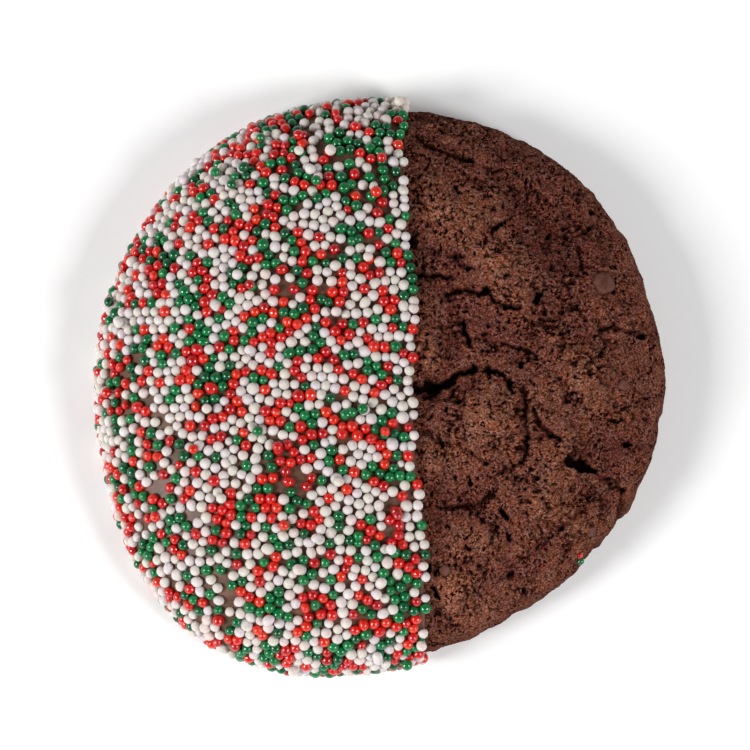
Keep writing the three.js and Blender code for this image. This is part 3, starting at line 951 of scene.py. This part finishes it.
def pileOnTop(places, radii, normals):
    # a few balls rest in the hollow between three others
    wanted = int(len(places) * balls["onTopShare"])
    tree = treeOf(places)
    extraPlaces, extraRadii = [], []
    for first in random.permutation(len(places)):
        if len(extraPlaces) >= wanted:
            break
        if places[first][2] < balls["onTopAbove"]:
            continue
        three = [other for _, other, _ in tree.find_n(places[first], 3)]
        radius = balls["diameter"] / 2 * random.uniform(*balls["onTopSizes"])
        middle = places[three].mean(axis=0)
        flat = np.linalg.norm(places[three] - middle, axis=1).mean()
        rise = (radius + radii[three].mean()) ** 2 - flat ** 2
        if rise <= 0:
            continue
        place = middle + normals[first] * math.sqrt(rise)
        if any(np.linalg.norm(place - other) < 2 * radius for other in extraPlaces):
            continue
        extraPlaces.append(place)
        extraRadii.append(radius)
    return np.array(extraPlaces), np.array(extraRadii)


def pickColours(places):
    # likes lie together more often than chance would have it
    scores = []
    for n, share in enumerate(balls["shares"].values()):
        luck = -np.log(-np.log(random.random(len(places))))
        cluster = layeredNoise(places, balls["clusterSize"], seed=101 + 7 * n, layers=2)
        scores.append(math.log(share) + balls["clusterPull"] * cluster + luck)
    return np.argmax(scores, axis=0)


def joinDoubles(places, kinds):
    tree = treeOf(places)
    for n in random.choice(len(places), int(len(places) * balls["doubleShare"]), replace=False):
        other = tree.find_n(places[n], 2)[1][1]
        middle = (places[n] + places[other]) / 2
        for one in (n, other):
            places[one] += balls["doublePull"] * (middle - places[one])
        kinds[other] = kinds[n]


def ballTemplate(steps):
    # an eight-sided ball with each side cut into steps x steps triangles
    places, faces, seen = [], [], {}

    def corner(x, y, z):
        key = (x, y, z)
        if key not in seen:
            seen[key] = len(places)
            places.append(np.array(key, float) / np.linalg.norm(key))
        return seen[key]

    for sx, sy, sz in ((a, b, c) for a in (1, -1) for b in (1, -1) for c in (1, -1)):
        for i in range(steps):
            for j in range(steps - i):
                def at(p, q):
                    return corner(sx * p, sy * q, sz * (steps - p - q))
                triangles = [(at(i, j), at(i + 1, j), at(i, j + 1))]
                if i + j < steps - 1:
                    triangles.append((at(i + 1, j), at(i + 1, j + 1), at(i, j + 1)))
                faces += [face if sx * sy * sz > 0 else face[::-1] for face in triangles]
    return np.array(places), np.array(faces)


def ballMesh(places, radii, steps, uneven):
    template, faces = ballTemplate(steps)
    count = len(places)
    spins = random.normal(size=(count, 4))
    spins /= np.linalg.norm(spins, axis=1)[:, None]
    w, x, y, z = spins.T
    turns = np.array(((1 - 2 * (y * y + z * z), 2 * (x * y - w * z), 2 * (x * z + w * y)),
                      (2 * (x * y + w * z), 1 - 2 * (x * x + z * z), 2 * (y * z - w * x)),
                      (2 * (x * z - w * y), 2 * (y * z + w * x), 1 - 2 * (x * x + y * y))))
    stretch = 1 + uneven * random.normal(size=(count, 1, 3))
    isLong = random.random(count) < balls["longShare"]
    stretch[:, 0, 2] += np.where(isLong, random.uniform(*balls["longBy"], count), 0)
    shape = template[None] * stretch
    starts = random.uniform(0, balls["dentTurns"], (count, 1, 3))
    waves = np.sin(template[None] * balls["dentWaves"] + starts).sum(axis=2)
    dents = 1 + balls["dents"] * uneven * waves
    shape = shape * dents[:, :, None] * radii[:, None, None]
    points = np.einsum("ijn,nkj->nki", turns, shape) + places[:, None]
    allFaces = faces[None] + (np.arange(count) * len(template))[:, None, None]
    return points.reshape(-1, 3), allFaces.reshape(-1, 3), np.repeat(random.random(count), len(template))


def sugarMaterial(name, look):
    material, tree, shader = newMaterial(name)
    last = len(look["tones"]) - 1
    stops = [(n / last, srgb(*tone)) for n, tone in enumerate(look["tones"])]
    tone = addRamp(tree, addAttribute(tree, "tone"), *stops)
    clouds = addRamp(tree, addNoise(tree, balls["cloudSize"], detail=2), *balls["cloudTones"])
    dimples = addNoise(tree, balls["dimpleSize"], detail=2)
    dimpled = addBump(tree, dimples, look["dimples"], distanceMm=0.05)
    paint(tree, shader, look, addMix(tree, 1.0, tone, clouds, "MULTIPLY"), dimpled)
    setInputs(shader, {"Subsurface Weight": look["clearness"], "Subsurface Radius": look["glow"],
                       "Subsurface Scale": balls["lightReach"] * mm})
    return material


def scatterBalls():
    # middle, radius and colour of every ball on the dip, and of the strays
    bed, bedPoints, bedPolygons = bedTree()
    places = scatterStart(bedPoints, bedPolygons)
    count = len(places)
    sizes = np.clip(1 + balls["spread"] * random.normal(size=count), *balls["usualSizes"])
    odd = random.random(count) < balls["oddShare"]
    radii = balls["diameter"] / 2 * np.where(odd, random.uniform(*balls["oddSizes"], count), sizes)
    places, normals = settle(places, radii, bed)
    extraPlaces, extraRadii = pileOnTop(places, radii, normals)
    places = np.concatenate((places, extraPlaces))
    radii = np.concatenate((radii, extraRadii))
    kinds = pickColours(places)
    joinDoubles(places, kinds)
    radii = radii * np.array([look["size"] for look in balls["looks"].values()])[kinds]
    for x, y, z, radius, colour in balls["strays"]:
        places = np.concatenate((places, [(x, y, z)]))
        radii = np.append(radii, radius)
        kinds = np.append(kinds, list(balls["looks"]).index(colour))
    return places, radii, kinds


def makeNonpareils():
    places, radii, kinds = scatterBalls()
    for n, (colour, look) in enumerate(balls["looks"].items()):
        own = kinds == n
        seen = own & (places[:, 2] > balls["seenAbove"])
        hidden = own & ~seen
        parts = [ballMesh(places[seen], radii[seen], balls["seenFineness"], look["uneven"]),
                 ballMesh(places[hidden], radii[hidden], balls["hiddenFineness"], look["uneven"])]
        points = np.concatenate([part[0] for part in parts])
        faces = np.concatenate((parts[0][1], parts[1][1] + len(parts[0][0])))
        points[:, 2] = np.maximum(points[:, 2], balls["clearOfFloor"])
        name = f"{colour}_nonpareils"
        mesh = bpy.data.meshes.new(name)
        mesh.from_pydata(points.tolist(), [], faces.tolist())
        storeAttribute(mesh, "tone", np.concatenate([part[2] for part in parts]))
        material = sugarMaterial(f"{colour} sugar", look)
        finishPiece(name, mesh, material)
        print(colour, "nonpareils:", int(own.sum()), "balls,", len(faces), "triangles")


makeNonpareils()


def chipMaterial():
    material, tree, shader = newMaterial("baked chocolate chip")
    mottle = addNoise(tree, chips["mottleSize"], detail=4, roughness=0.6)
    mottled = addBump(tree, mottle, strength=0.4, distanceMm=0.15)
    paint(tree, shader, chips, addRamp(tree, mottle, *chips["tones"]), mottled)
    return material


def makeChips():
    # each chip lies flush in the crumb, turned to the slope there
    material = chipMaterial()
    for number, (middle, radius, normal) in enumerate(chipPlaces(), 1):
        mesh = bpy.data.meshes.new(f"chip_{number}")
        ball = bmesh.new()
        bmesh.ops.create_icosphere(ball, subdivisions=chips["fineness"], radius=1)
        ball.to_mesh(mesh)
        ball.free()
        points = coordinates(mesh)
        turn = np.arctan2(points[:, 1], points[:, 0])
        aside = np.hypot(points[:, 0], points[:, 1])
        squareness = chips["squareness"]
        swell = (aside ** squareness + np.abs(points[:, 2]) ** squareness) ** (-1 / squareness)
        firstTurn, nextTurn = chips["cornerTurn"]
        corners = 1 + chips["corners"] * np.cos(4 * turn + firstTurn + nextTurn * number)
        lumpy = softNoise(points + chips["apart"] * number, chips["unevenSize"], seed=59)
        uneven = 1 + chips["uneven"] * lumpy
        points *= (radius * chips["width"] * swell * uneven)[:, None]
        points[:, :2] *= (corners / (1 + chips["corners"]))[:, None]
        points[:, 2] *= chips["flatness"] / chips["width"]
        upright = normal.to_track_quat("Z", "Y").to_matrix()
        setCoordinates(mesh, points @ np.array(upright).T + middle)
        finishPiece(f"chip_{number}", mesh, material, [f"chocolate_chip_{number}"])


makeChips()
print("chips set in the crumb")
